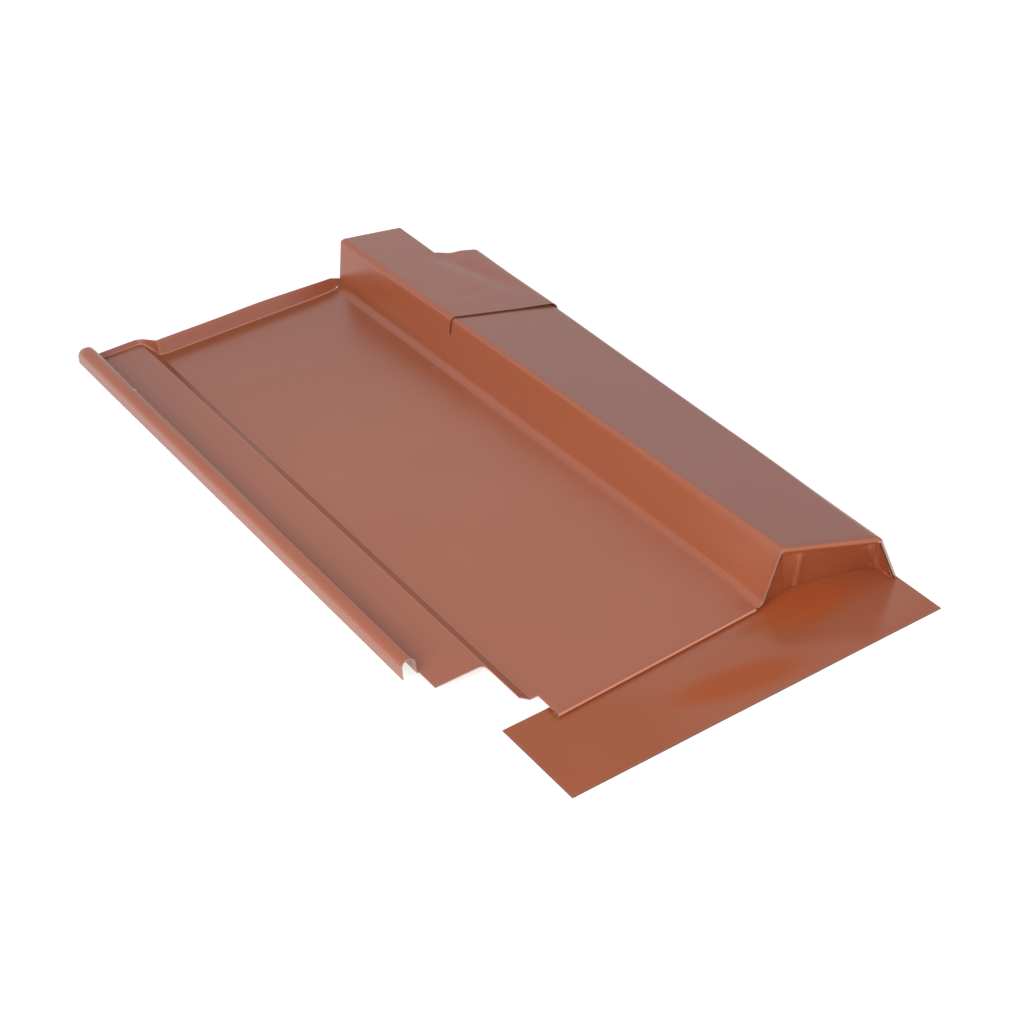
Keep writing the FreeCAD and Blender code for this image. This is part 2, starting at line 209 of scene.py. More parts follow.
def box_corners(y):
    """Upper corners of the side box across the tile."""
    share = box_share(y)
    top = between(BOX_TOP, share)
    return [
        (between(BOX_LEFT, share), PAN_TOP, FOOT_RADIUS),
        (between(BOX_TOP_LEFT, share), top, SHOULDER_RADIUS),
        (BOX_TOP_RIGHT, top, SHOULDER_RADIUS + FRONT_SHOULDER_EXTRA * (1 - smooth(0, 0.2, share))),
        (BOX_RIGHT, BOX_FOOT, 0),
    ]


def plate_corners(y):
    """Upper corners of the whole plate across the tile, from the side roll to the box."""
    outside = -ROLL_FLARE * y / LENGTH
    crown = 0.5 * (ROLL_WIDTH - outside) - 0.1
    return [
        (outside, STRIP_TOP - GAUGE, 0),
        (outside, ROLL_TOP, crown),
        (ROLL_WIDTH, ROLL_TOP, crown),
        (ROLL_WIDTH, STRIP_TOP, FOLD),
        (BAND_LEFT, STRIP_TOP, FOLD + GAUGE),
        (BAND_RIGHT, PAN_TOP, FOLD),
    ] + box_corners(y)


PLATE_COUNTS = (2, 1, 2, 8, 2, 36, 9, 34, 9)      # spans of each straight run of that section


# ---- building sheets ------------------------------------------------------------

def add_grid(bm, rows):
    """Faces between rows of points that all have as many points."""
    made = [[bm.verts.new(point) for point in row] for row in rows]
    for front, back in zip(made, made[1:]):
        for i in range(len(front) - 1):
            bm.faces.new((front[i], front[i + 1], back[i + 1], back[i]))


def inside(outline, x, y):
    """Whether a point lies inside a closed outline in plan."""
    crossings = 0
    for (x0, y0), (x1, y1) in zip(outline, outline[1:] + outline[:1]):
        if (y0 > y) != (y1 > y) and x < x0 + (y - y0) * (x1 - x0) / (y1 - y0):
            crossings += 1
    return crossings % 2 == 1


def distance_to(point, a, b):
    """Distance in plan from a point to the segment from a to b."""
    start = Vector(a)
    along = Vector(b) - start
    share = min(max((Vector((point.x, point.y)) - start).dot(along) / along.length_squared, 0), 1)
    return (Vector((point.x, point.y)) - start - along * share).length


def trim(bm, outline, reach=6.0):
    """Cuts the sheet along a closed outline in plan and keeps what lies inside."""
    for (x0, y0), (x1, y1) in zip(outline, outline[1:] + outline[:1]):
        low = (min(x0, x1) - reach, min(y0, y1) - reach)
        high = (max(x0, x1) + reach, max(y0, y1) + reach)
        faces = []
        for face in bm.faces:
            centre = face.calc_center_median()
            if low[0] < centre.x < high[0] and low[1] < centre.y < high[1]:
                faces.append(face)
        # Dictionaries, because a set's order can change from run to run.
        edges = dict.fromkeys(edge for face in faces for edge in face.edges)
        verts = dict.fromkeys(vert for face in faces for vert in face.verts)
        bmesh.ops.bisect_plane(bm, geom=[*faces, *edges, *verts], dist=0.001,
                               plane_co=(x0, y0, 0), plane_no=(y1 - y0, x0 - x1, 0))
    outside = []
    for face in bm.faces:
        centre = face.calc_center_median()
        if not inside(outline, centre.x, centre.y):
            outside.append(face)
    bmesh.ops.delete(bm, geom=outside, context="FACES")


def roll_on(bm, is_edge_point, steps, finish):
    """Extrudes the open edge whose points pass the test. Each step gives a point's new place from
    its first place, and finish(k, point) gives the material slot of step k's faces."""
    edges = [
        edge for edge in bm.edges
        if edge.is_boundary and all(is_edge_point(vert.co) for vert in edge.verts)
    ]
    first_place = {vert: vert.co.copy() for edge in edges for vert in edge.verts}
    for k, step in enumerate(steps):
        result = bmesh.ops.extrude_edge_only(bm, edges=edges)["geom"]
        edges = [item for item in result if isinstance(item, bmesh.types.BMEdge)]
        next_place = {}
        for vert in (item for item in result if isinstance(item, bmesh.types.BMVert)):
            for edge in vert.link_edges:
                other = edge.other_vert(vert)
                if other in first_place:
                    next_place[vert] = first_place[other]
        for vert, start in next_place.items():
            vert.co = step(start)
        first_place = next_place
        for face in (item for item in result if isinstance(item, bmesh.types.BMFace)):
            face.material_index = finish(k, face.calc_center_median())


COATED, SHEARED, PAINTED_HIGHLIGHT, PAINTED_SHEEN = range(4)     # material slots of a sheet; the last two carry a painted highlight and a painted sheen
SHARP_FOLD = math.radians(38)


def sheet_object(name, bm, materials):
    """Gives the outer face its thickness, inwards, and turns it into a finished piece."""
    bm.normal_update()
    mesh = bpy.data.meshes.new(name + "_face")
    for vert in bm.verts:
        vert.co = place(vert.co)
    bm.to_mesh(mesh)
    bm.free()
    shell = bpy.data.objects.new(name, mesh)
    bpy.context.collection.objects.link(shell)
    for material in materials:
        mesh.materials.append(material)
    solidify = shell.modifiers.new("thickness", "SOLIDIFY")
    solidify.thickness = 0.001 * GAUGE
    solidify.offset = -1
    solidify.use_quality_normals = True
    solidify.material_offset_rim = SHEARED
    graph = bpy.context.evaluated_depsgraph_get()
    solid = bpy.data.meshes.new_from_object(shell.evaluated_get(graph))
    shell.modifiers.clear()
    shell.data = solid
    # The thickness can put a corner a few microns outside the CAD box.
    for vert in solid.vertices:
        for axis in range(3):
            vert.co[axis] = min(max(vert.co[axis], cad_low[axis]), cad_high[axis])
    solid.polygons.foreach_set("use_smooth", [True] * len(solid.polygons))
    solid.set_sharp_from_angle(angle=SHARP_FOLD)
    return shell


# ---- the plate --------------------------------------------------------------------

def front_line(x):
    """Front edge of the sheet in plan, under the rolls that finish it."""
    pan = between(PAN_FRONT, (x - PAN_LEFT) / (BOX_LEFT[0] - PAN_LEFT)) + HEM_RADIUS
    nose = between(NOSE, (x - BOX_TOP_LEFT[0]) / (BOX_TOP_RIGHT - BOX_TOP_LEFT[0])) + NOSE_RADIUS
    if x < BOX_LEFT[0]:
        return pan
    if x < BOX_TOP_LEFT[0]:
        return NOSE[0] + NOSE_RADIUS
    if x < BOX_TOP_RIGHT:
        return nose
    return NOSE_FOOT + NOSE_RADIUS


def lip_line():
    """Back fold of the strip and pan in plan, stepped round the band."""
    setback = LIP_RADIUS * math.tan((math.pi / 2 - LIP_LEAN) / 2)
    corners = [
        (ROLL_WIDTH + FOLD, STRIP_BACK, 0),
        (BAND_LEFT, STRIP_BACK, LIP_TURNS[0]),
        (BAND_RIGHT + GAUGE, PAN_BACK, LIP_TURNS[1]),
        (LIP_END, PAN_BACK, 0),
    ]
    return path_points(offset_path(corners, -setback), (1, 2, 1))


def plate_outline():
    """Outline that the folded plate is trimmed to."""
    centre = (BAND_LEFT - STRIP_CORNER, STRIP_FRONT - STRIP_CORNER)
    rounding = [
        (centre[0] + STRIP_CORNER * math.sin(math.radians(angle)),
         centre[1] + STRIP_CORNER * math.cos(math.radians(angle)))
        for angle in (0, 22.5, 45, 67.5, 90)
    ]
    return [
        (-MARGIN, ROLL_FRONT),
        (ROLL_WIDTH + FOLD, ROLL_FRONT),
        (ROLL_WIDTH + FOLD, STRIP_FRONT),
        *rounding,
        (BAND_LEFT, BAND_FRONT),
        (PAN_LEFT, BAND_FRONT),
        (PAN_LEFT, 0),
        (BOX_RIGHT + MARGIN, 0),
        (BOX_RIGHT + MARGIN, TAIL_FRONT),
        (TAIL_RIGHT, TAIL_FRONT),
        (TAIL_RIGHT, TAIL_BACK),
        (BOX_LEFT[1], PAN_BACK),
        (LIP_END, PAN_BACK),
        *reversed(lip_line()),
        (ROLL_WIDTH + FOLD, LENGTH),
        (-MARGIN, LENGTH),
    ]


def plate_dents(x, y, z):
    """How much higher the plate lies than its plain section: soft waves, the pan's rise towards the
    wall, the drop at the side roll's back end and the sunk part of the box top under the cap."""
    in_pan = smooth(BAND_RIGHT, BAND_RIGHT + 25, x) * (1 - smooth(150, 172, x))
    in_pan *= smooth(58, 90, y) * (1 - smooth(455, 482, y))
    on_top = smooth(31, 33.5, z)
    near_wall = min(max((x - 150) / 27, 0), 1) ** 2 * (1 - smooth(8, 28, z))
    covered = smooth(190, 200, x) * smooth(358, 366, y) * (1 - smooth(420, 428, y))
    lift = in_pan * (PAN_WAVE * waves(x, 0.6 * y, 60, 3.1) + PAN_RIPPLE * waves(x, y, 22, 8.4))
    lift += WALL_RISE * near_wall * smooth(58, 85, y)
    if x < ROLL_WIDTH and z > STRIP_TOP + 3:
        lift -= ROLL_DROP * min(max(1 + (y - LENGTH) / ROLL_DROP_LENGTH, 0), 1) ** 2
    lift += on_top * (TOP_WAVE * waves(x, 0.5 * y, 40, 5.2) - TOP_SINK - COVERED_SINK * covered)
    return lift


def lip_direction(x, y):
    """Outward direction of the back fold in plan at one of its points."""
    slope = Vector((BAND_RIGHT + GAUGE - BAND_LEFT, PAN_BACK - STRIP_BACK))
    normal = Vector((-slope.y, slope.x)).normalized()
    share = (STRIP_BACK - y) / (STRIP_BACK - PAN_BACK)
    turned = smooth(0.02, 0.3, share) * (1 - smooth(0.7, 0.98, share))
    return (Vector((0, 1)).lerp(normal, turned)).normalized()


def lip_crest(x):
    """Height of the back lip's top edge."""
    if x < PAN_LEFT:
        return PAN_TOP + between(LIP_HEIGHTS, smooth(BAND_LEFT, PAN_LEFT, x))
    fall = LIP_FALL * smooth(110, LIP_END, x) + LIP_END_FALL * smooth(LIP_END - 4, LIP_END, x)
    return PAN_TOP + LIP_HEIGHTS[1] - fall


def lip_steps():
    """Bend and straight part of the back lip."""
    turn = math.pi / 2 - LIP_LEAN
    steps = []
    for k in range(1, 6):
        angle = turn * k / 5

        def bend(start, angle=angle):
            out = lip_direction(start.x, start.y) * (LIP_RADIUS * math.sin(angle))
            return start + Vector((out.x, out.y, LIP_RADIUS * (1 - math.cos(angle))))
        steps.append(bend)
    for k in range(1, 5):
        def rise(start, share=k / 4):
            base = start.z + LIP_RADIUS * (1 - math.cos(turn))
            height = share * (lip_crest(start.x) - base)
            distance = LIP_RADIUS * math.sin(turn) + height * math.tan(LIP_LEAN)
            out = lip_direction(start.x, start.y) * distance
            ripple = LIP_RIPPLE * share * waves(start.x, 0, 35, 1.7)
            towards_box = LIP_REACH * math.sqrt(share) * smooth(LIP_END - 12, LIP_END, start.x)
            return Vector((start.x + out.x + towards_box, start.y + out.y + ripple, base + height))
        steps.append(rise)
    return steps


def hem_steps():
    """The pan's front edge turned down and back under itself."""
    steps = []
    for k in range(1, 8):
        angle = math.pi * k / 7

        def turn(start, angle=angle):
            return start + HEM_RADIUS * Vector((0, -math.sin(angle), math.cos(angle) - 1))
        steps.append(turn)
    steps.append(lambda start: start + Vector((0, HEM_RETURN, -2 * HEM_RADIUS)))
    return steps


FORWARD = Vector((-0.35, -0.937, 0))              # the way the box's front end faces
# Foot of the box's closed front end in plan, from its left to its right.
NOSE_FOOT_LINE = [(182.5, 58.5), (207, 62), (249.3, 48.6), (252.9, 34.0)]
PLEATS = ((203.0, 1.5, 2.0), (234.5, 1.7, 2.2))      # place along the top, height and width of each pleat
# How far ahead and how far inwards each step of the rolled edge lies, along the top and along the walls.
TOP_ROLL = ((0.7, 0.15), (1.2, 0.6), (1.4, 1.3), (1.4, 2.2), (1.1, 2.9), (0.2, 3.4), (-1.0, 3.7))
WALL_ROLL = ((0.7, 0.1), (1.1, 0.5), (1.1, 1.3), (0.2, 1.5), (-0.9, 1.6), (-0.9, 2.3), (0.0, 2.6))
ROLL_CUT_STEPS = (2, 3)          # steps of the wall's roll that show the bare cut edge
LIP_SHINE_STEPS = (2, 3)         # steps of the lip's bend that get the painted highlight
# steps of the hem's bend that get the painted highlight
HEM_SHINE_STEPS = (1, 2)
FOLD_LINE = 0.4                  # half the width of the painted sheen line along the band's folds
NEAR = 0.01                      # how exactly a point has to lie on an edge to be rolled with it


def nose_station(start):
    """Where a point of the box's front edge lies on the closed front end: 0 to 3 over its three panels."""
    height = min(max((start.z - BOX_FOOT) / (BOX_TOP[0] - BOX_FOOT), 0), 1)
    if start.x < PLEATS[0][0]:
        return 0.75 * height + 0.25 * smooth(BOX_TOP_LEFT[0], PLEATS[0][0], start.x)
    if start.x < PLEATS[1][0]:
        return 1 + (start.x - PLEATS[0][0]) / (PLEATS[1][0] - PLEATS[0][0])
    return 2 + 0.25 * smooth(PLEATS[1][0], BOX_TOP_RIGHT, start.x) + 0.75 * (1 - height)


def foot_point(station):
    """Point of the front end's foot line."""
    panel = min(int(station), 2)
    first, last = NOSE_FOOT_LINE[panel], NOSE_FOOT_LINE[panel + 1]
    share = station - panel
    return Vector((between((first[0], last[0]), share), between((first[1], last[1]), share), BOX_FOOT))


def nose_roll(start, step):
    """Place of a point of the box's front edge after that step of the roll."""
    side = 1 if start.x < 0.5 * (BOX_TOP_LEFT[0] + BOX_TOP_RIGHT) else -1
    over = smooth(BOX_TOP[0] - 3.5, BOX_TOP[0] - 0.6, start.z)
    within = Vector((0.93 * side, 0, -0.37)).lerp(Vector((0, 0, -1)), over).normalized()
    ahead = between((WALL_ROLL[step][0], TOP_ROLL[step][0]), over)
    depth = between((WALL_ROLL[step][1], TOP_ROLL[step][1]), over)
    point = start + FORWARD * ahead + within * depth
    point.z = max(point.z, BOX_FOOT)
    return point


def nose_panel(start, share):
    """Place of a point of the box's front edge that far down the folded front end."""
    station = nose_station(start)
    point = nose_roll(start, len(TOP_ROLL) - 1).lerp(foot_point(station), share)
    ridge = 0
    for pleat, (_, height, width) in zip((1, 2), PLEATS):
        ridge += height * bell((station - pleat) * (PLEATS[1][0] - PLEATS[0][0]), 0, width)
    middle = math.sin(math.pi * min(max(station - 1, 0), 1))
    sag = 0.7 * math.sin(math.pi * share) * middle
    return point + FORWARD * (ridge * smooth(0, 0.25, share) - sag)


def nose_steps():
    """The front edge of the box, rolled in and closed by a folded-down front end with two pleats."""
    rows = 14
    rolls = [lambda start, step=step: nose_roll(start, step) for step in range(len(TOP_ROLL))]
    panels = [lambda start, share=k / rows: nose_panel(start, share) for k in range(1, rows + 1)]
    return rolls + panels


def plate_rows():
    """Rows of points over the plate's upper side. The first row follows the front edge and the
    rows behind it straighten out."""
    first = NOSE[1] + NOSE_RADIUS
    fade = 90.0
    spacing = 4.0
    count = int((LENGTH - first) / spacing)
    rows = []
    for j in range(count + 1):
        straight = first + (LENGTH - first) * j / count
        ahead = 1 - smooth(0, fade, straight - first)
        nominal = path_points(plate_corners(straight), PLATE_COUNTS)
        row = []
        for i, (x, z) in enumerate(nominal):
            for _ in range(3):
                y = straight + ahead * (front_line(x) - first)
                x, z = path_points(plate_corners(y), PLATE_COUNTS)[i]
            row.append(Vector((x, y, z + plate_dents(x, y, z))))
        rows.append(row)
    return rows


def make_plate(materials):
    """The one folded plate: roll, strip, band, pan, back lip, hem and side box."""
    bm = bmesh.new()
    add_grid(bm, plate_rows())
    trim(bm, plate_outline())
    for face in bm.faces:
        across = face.calc_center_median().x
        # Painted sheen: light lines along the band's folds.
        if min(abs(across - BAND_LEFT), abs(across - BAND_RIGHT)) < FOLD_LINE:
            face.material_index = PAINTED_SHEEN

    fold = lip_line()

    def on_back_fold(point):
        if not ROLL_WIDTH + FOLD - NEAR < point.x < LIP_END + NEAR or point.y < PAN_BACK - 4:
            return False
        return any(distance_to(point, a, b) < 2 * NEAR for a, b in zip(fold, fold[1:]))

    def on_pan_front(point):
        within = PAN_LEFT - NEAR < point.x < HEM_END + NEAR
        return within and abs(point.y - front_line(point.x)) < 5 * NEAR

    def on_nose(point):
        return point.x > HEM_END - NEAR and point.y < NOSE[0] + 4

    # Painted highlight along the lip's and hem's bends.
    def lip_finish(step, _):
        return PAINTED_HIGHLIGHT if step in LIP_SHINE_STEPS else COATED

    def hem_finish(step, _):
        return PAINTED_HIGHLIGHT if step in HEM_SHINE_STEPS else COATED

    def nose_finish(step, point):
        if step in ROLL_CUT_STEPS and PAN_TOP + 1.5 < point.z < BOX_TOP[0] - 2.5:
            return SHEARED
        down = (BOX_TOP[0] - point.z) / (BOX_TOP[0] - BOX_FOOT)
        # Painted sheen on the pleats' ridges.
        for (along, _, width), foot in zip(PLEATS, NOSE_FOOT_LINE[1:]):
            if step > len(TOP_ROLL) and abs(point.x - between((along, foot[0]), down)) < 0.7 * width:
                return PAINTED_SHEEN
        return COATED

    roll_on(bm, on_back_fold, lip_steps(), lip_finish)
    roll_on(bm, on_pan_front, hem_steps(), hem_finish)
    roll_on(bm, on_nose, nose_steps(), nose_finish)
    return sheet_object("roof_plate_sheet", bm, materials)


# ---- the saddle cap ------------------------------------------------------------------

# The cap's back and front edges in plan, run past its sides.
CAP_BACK = [(120, 442.8), (179.9, 442.8), (TAIL_RIGHT, 430.5), (BOX_TOP_RIGHT, 416.5), (290, 416.5)]
CAP_FRONT = [(290, 329.3), (BOX_TOP_RIGHT, 329.3), (183.0, 356.8), (120, 356.8)]
CAP_ROWS = (322, 450)            # first and last row before the sheet is trimmed
CAP_FLANGES = (11.0, 8.0)        # how far it reaches down the box's left and right wall
CAP_GAP = 0.3
CAP_VALLEY = 1.3
CAP_RAISED_CORNER = 0.75
CAP_NOTCH = (226, 4.5, 1.2)      # place, width and depth of the dip in the back edge
CAP_DENT = (209, 372, 0.35)      # place and depth of the small dent


def cap_shape(point):
    """The cap's own unevenness: a diagonal valley, a dip in its back edge, a dent and a raised
    front right corner."""
    x, y, z = point
    on_top = smooth(30, 35, z)
    across = (x - 183) / (BOX_TOP_RIGHT - 183)
    ahead = (430 - y) / 100
    valley = bell(across - 0.58 - 0.42 * ahead, 0, 0.1)
    lift = -CAP_VALLEY * valley * smooth(-0.1, 0.15, ahead) * (1 - smooth(0.35, 0.95, ahead))
    lift += CAP_RAISED_CORNER * smooth(0.55, 1, across) * smooth(0.55, 1, ahead)
    lift -= CAP_NOTCH[2] * bell(x, CAP_NOTCH[0], CAP_NOTCH[1]) * smooth(408, 424, y)
    lift -= CAP_DENT[2] * bell(x, CAP_DENT[0], 7) * bell(y, CAP_DENT[1], 3)
    lift += 0.15 * waves(x, y, 30, 9.3)
    return Vector((x, y, z + on_top * (lift - 0.2)))


def make_cap(materials):
    """The short sheet bent over the side box near its back end."""
    bm = bmesh.new()
    rows = []
    count = 64
    for j in range(count + 1):
        y = between(CAP_ROWS, j / count)
        left_foot, left_top, right_top, right_foot = box_corners(y)
        ends = []
        walls = ((left_foot, left_top), (right_foot, right_top))
        for (foot, top), flange in zip(walls, CAP_FLANGES):
            share = flange / (top[1] - foot[1])
            ends.append((top[0] + share * (foot[0] - top[0]), top[1] - flange, 0))
        path = offset_path([ends[0], left_top, right_top, ends[1]], CAP_GAP + GAUGE)
        rows.append([cap_shape((x, y, z)) for x, z in path_points(path, (5, 30, 4))])
    add_grid(bm, rows)
    trim(bm, CAP_BACK + CAP_FRONT, reach=4.0)
    return sheet_object("saddle_cap_sheet", bm, materials)


# ---- the apron -------------------------------------------------------------------------

def apron_height(x, y):
    """Slight waves of the flat apron; it lies flat where the plate rests on it."""
    free = 1 - smooth(41, 50, y)
    bow = 0.5 * smooth(-8, 46, y) * smooth(60, 105, x) * (1 - smooth(165, 215, x))
    return free * (bow + 0.12 * (1 + waves(x, y, 60, 2.2)))


def make_apron(materials):
    """The flat sheet under the plate's front edge."""
    bm = bmesh.new()
    rows = []
    across, along = 90, 33
    for j in range(along + 1):
        y = APRON_TUCK * j / along
        places = (between((APRON_LEFT, APRON_RIGHT), i / across) for i in range(across + 1))
        rows.append([Vector((x, y, GAUGE + apron_height(x, y))) for x in places])
    add_grid(bm, rows)
    step = PAN_LEFT + 4              # left of this the apron doesn't reach under the plate
    right, back = APRON_RIGHT + MARGIN, APRON_TUCK + MARGIN
    tuck = [(right, back), (step, back), (step, APRON_DEPTH)]
    trim(bm, [(0, -MARGIN), (right, -MARGIN), *tuck, (0, APRON_DEPTH)])
    return sheet_object("front_apron_sheet", bm, materials)


# ---- materials ---------------------------------------------------------------------------

SHEEN_TINT = (0.8, 0.84, 1.0)
FOLD_HIGHLIGHT_RAMP = (0.53, 0.62, 0.1)          # pointiness where the painted highlight on convex folds starts, where it is full, and how much
# colour of the painted highlight on convex folds
FOLD_HIGHLIGHT_TONE = (0.62, 0.3, 0.2)
SMEAR = (0.03, 0.05)             # how much smoother and rougher the gloss gets in places

# The box top's darker, greyer tone: heights and places along the tile where it fades.
LEVEL_TOP_HEIGHTS = (BOX_TOP[0] - 2.5, BOX_TOP[0] - 0.5)
LEVEL_TOP_FLATNESS = (0.93, 0.995)      # how level the surface has to be
LEVEL_TOP_FADE = (303, 383)
LEVEL_TOP_BEHIND = 0.6
LEVEL_TOP_TONE = 0.69
LEVEL_TOP_SHEEN = 1.0

# Painted shade: the darker back of the low parts.
FAR_PLACES = (303, 503)
FAR_HEIGHTS = (9, 14)
FAR_SHADE_TONE = 0.84

# Soft patches on the apron, three of them painted reflections, and the chip on the side roll: centre,
# reach and turn in plan.
PATCH_CORE = 0.35
BOX_REFLECTION_PATCH = ((200, 46), (40, 21), -0.1)
MIDDLE_REFLECTION_PATCH = ((136, 18), (52, 15), -0.18)
VEIL_REFLECTION_PATCH = ((222, 20), (58, 21), 0.1)
PATCH_LEFT_END = ((40, 18), (80, 80), 0)
CHIP = ((6.2, 438), (1.3, 2.0), 0)


class Finish:
    """A material with its Principled shader, and short ways to add and join its nodes."""

    def __init__(self, name):
        self.material = bpy.data.materials.new(name)
        self.material.use_nodes = True
        self.tree = self.material.node_tree
        self.shader = self.tree.nodes["Principled BSDF"]
        self.position = self.add("ShaderNodeTexCoord").outputs["Object"]

    def add(self, kind, **values):
        """New node; each value goes to the input socket of that name or to the node itself."""
        node = self.tree.nodes.new(kind)
        for key, value in values.items():
            if key in node.inputs:
                node.inputs[key].default_value = value
            else:
                setattr(node, key, value)
        return node

    def link(self, source, target):
        self.tree.links.new(source, target)

    def replace(self, name, change):
        """Puts a change between a shader socket and what feeds it."""
        socket = self.shader.inputs[name]
        self.link(change(socket.links[0].from_socket), socket)

    def noise(self, **values):
        """Noise over the piece; its socket runs from about 0 to 1."""
        node = self.add("ShaderNodeTexNoise", **values)
        self.link(self.position, node.inputs["Vector"])
        return node.outputs["Fac"]

    def parts(self, vector):
        """X, Y and Z sockets of a vector."""
        node = self.add("ShaderNodeSeparateXYZ")
        self.link(vector, node.inputs[0])
        return node.outputs

    def ramp(self, value, ends, start=0.0, end=1.0):
        """Turns a value between two ends into one between start and end."""
        node = self.add("ShaderNodeMapRange")
        node.inputs["From Min"].default_value, node.inputs["From Max"].default_value = ends
        node.inputs["To Min"].default_value = start
        node.inputs["To Max"].default_value = end
        self.link(value, node.inputs["Value"])
        return node.outputs["Result"]

    def times(self, first, second):
        """Product of a socket and another socket or a number."""
        node = self.add("ShaderNodeMath", operation="MULTIPLY")
        self.link(first, node.inputs[0])
        if isinstance(second, (int, float)):
            node.inputs[1].default_value = second
        else:
            self.link(second, node.inputs[1])
        return node.outputs[0]

    def mix(self, share, first, second):
        """Mixes two colours; share is a socket, and each colour a socket or a fixed colour."""
        node = self.add("ShaderNodeMix", data_type="RGBA")
        first_colour, second_colour, result = node.inputs[6], node.inputs[7], node.outputs[2]
        self.link(share, node.inputs[0])
        for colour, socket in ((first, first_colour), (second, second_colour)):
            if isinstance(colour, tuple):
                socket.default_value = (*colour, 1)
            else:
                self.link(colour, socket)
        return result

    def patch(self, centre, reach, turn):
        """Soft oval patch in plan, with its centre and reach in tile millimetres."""
        local = self.add("ShaderNodeMapping", vector_type="TEXTURE")
        local.inputs["Location"].default_value = place((*centre, 0))
        local.inputs["Rotation"].default_value = (0, 0, turn)
        local.inputs["Scale"].default_value = (0.001 * reach[0], 0.001 * reach[1], 1)
        self.link(self.position, local.inputs["Vector"])
        distance = self.add("ShaderNodeVectorMath", operation="LENGTH")
        self.link(local.outputs["Vector"], distance.inputs[0])
        node = self.add("ShaderNodeMapRange", interpolation_type="SMOOTHSTEP")
        node.inputs["From Min"].default_value = 1.0
        node.inputs["From Max"].default_value = PATCH_CORE
        self.link(distance.outputs["Value"], node.inputs["Value"])
        return node.outputs["Result"]


def along_tile(places):
    """Two places along the tile as Y in the row frame."""
    return tuple(place((0, y, 0)).y for y in places)


def above_floor(heights):
    """Two heights on the tile as Z in the row frame."""
    return tuple(place((0, 0, z)).z for z in heights)


def level_top_mask(finish):
    """Where the coating is darker, greyer and glossier: on top of the side box, less so towards its back.
    """
    here = finish.parts(finish.position)
    facing = finish.parts(finish.add("ShaderNodeNewGeometry").outputs["Normal"])
    high = finish.ramp(here["Z"], above_floor(LEVEL_TOP_HEIGHTS))
    level = finish.ramp(facing["Z"], LEVEL_TOP_FLATNESS)
    along = finish.ramp(here["Y"], along_tile(LEVEL_TOP_FADE), 1.0, LEVEL_TOP_BEHIND)
    return finish.times(finish.times(high, level), along)


def far_shade_mask(finish):
    """The back of the low parts of the tile, where shade is painted in and the coating is a little darker.
    """
    here = finish.parts(finish.position)
    behind = finish.ramp(here["Y"], along_tile(FAR_PLACES))
    low_down = finish.ramp(here["Z"], above_floor(FAR_HEIGHTS), 1.0, 0.0)
    return finish.times(behind, low_down)


def paint_apron_reflections(finish):
    """Adds the apron's painted reflections: two clear orange patches where the box's front end is mirrored
    and a veiled one where the pale surround is; and a duller left end.
    """
    veil_reflection = finish.times(finish.patch(*VEIL_REFLECTION_PATCH), 0.15)
    box_reflection = finish.times(finish.patch(*BOX_REFLECTION_PATCH), 0.6)
    middle = finish.patch(*MIDDLE_REFLECTION_PATCH)
    left_end = finish.patch(*PATCH_LEFT_END)

    # Painted reflections mixed into the apron's colour.
    def tint(colour):
        colour = finish.mix(veil_reflection, colour, (0.42, 0.2, 0.17))
        colour = finish.mix(box_reflection, colour, (0.46, 0.092, 0.022))
        return finish.mix(finish.times(middle, 0.5), colour, (0.44, 0.09, 0.024))

    def dull(sheen):
        sheen = finish.times(sheen, finish.ramp(middle, (0, 1), 1.0, 0.2))
        return finish.times(sheen, finish.ramp(left_end, (0, 1), 1.0, 0.55))

    finish.replace("Base Color", tint)
    finish.replace("Specular IOR Level", dull)


def chip_roll(finish):
    """Adds a small chip on the side roll where the coating is knocked off."""
    chip = finish.patch(*CHIP)
    finish.replace("Base Color", lambda colour: finish.mix(chip, colour, (0.8, 0.76, 0.74)))


def coated_sheet(name, deep, pale, gloss, sheen):
    """Glossy terracotta coating: soft colour drift, a painted highlight on convex folds, a darker, greyer
    top on the box, painted shade at the back of the low parts and a faint orange-peel surface.
    """
    finish = Finish(name)
    shader = finish.shader
    drift = finish.noise(Scale=14.0, Detail=3.0, Roughness=0.5)
    colour = finish.mix(drift, deep, pale)
    pointiness = finish.add("ShaderNodeNewGeometry").outputs["Pointiness"]
    # Painted highlight: convex folds turn lighter by pointiness.
    colour = finish.mix(finish.ramp(pointiness, FOLD_HIGHLIGHT_RAMP[:2], 0.0, FOLD_HIGHLIGHT_RAMP[2]), colour, FOLD_HIGHLIGHT_TONE)
    # Darker, greyer base colour on the box's level top.
    level_top = level_top_mask(finish)
    colour = finish.mix(level_top, colour, tuple(LEVEL_TOP_TONE * value for value in deep))
    # Painted shade at the back of the low parts.
    colour = finish.mix(far_shade_mask(finish), colour, tuple(FAR_SHADE_TONE * value for value in deep))
    finish.link(colour, shader.inputs["Base Color"])

    shader.inputs["IOR"].default_value = 1.5
    shader.inputs["Specular Tint"].default_value = (*SHEEN_TINT, 1)
    shader.inputs["Specular IOR Level"].default_value = sheen
    level = finish.ramp(level_top, (0, 1), sheen, LEVEL_TOP_SHEEN)
    finish.link(level, shader.inputs["Specular IOR Level"])

    smear = finish.noise(Scale=45.0, Detail=4.0, Roughness=0.6)
    rough = finish.ramp(smear, (0, 1), gloss - SMEAR[0], gloss + SMEAR[1])
    finish.link(rough, shader.inputs["Roughness"])

    bump = finish.add("ShaderNodeBump", Strength=0.06, Distance=0.0002)
    finish.link(finish.noise(Scale=420.0, Detail=2.0), bump.inputs["Height"])
    finish.link(bump.outputs["Normal"], shader.inputs["Normal"])
    return finish


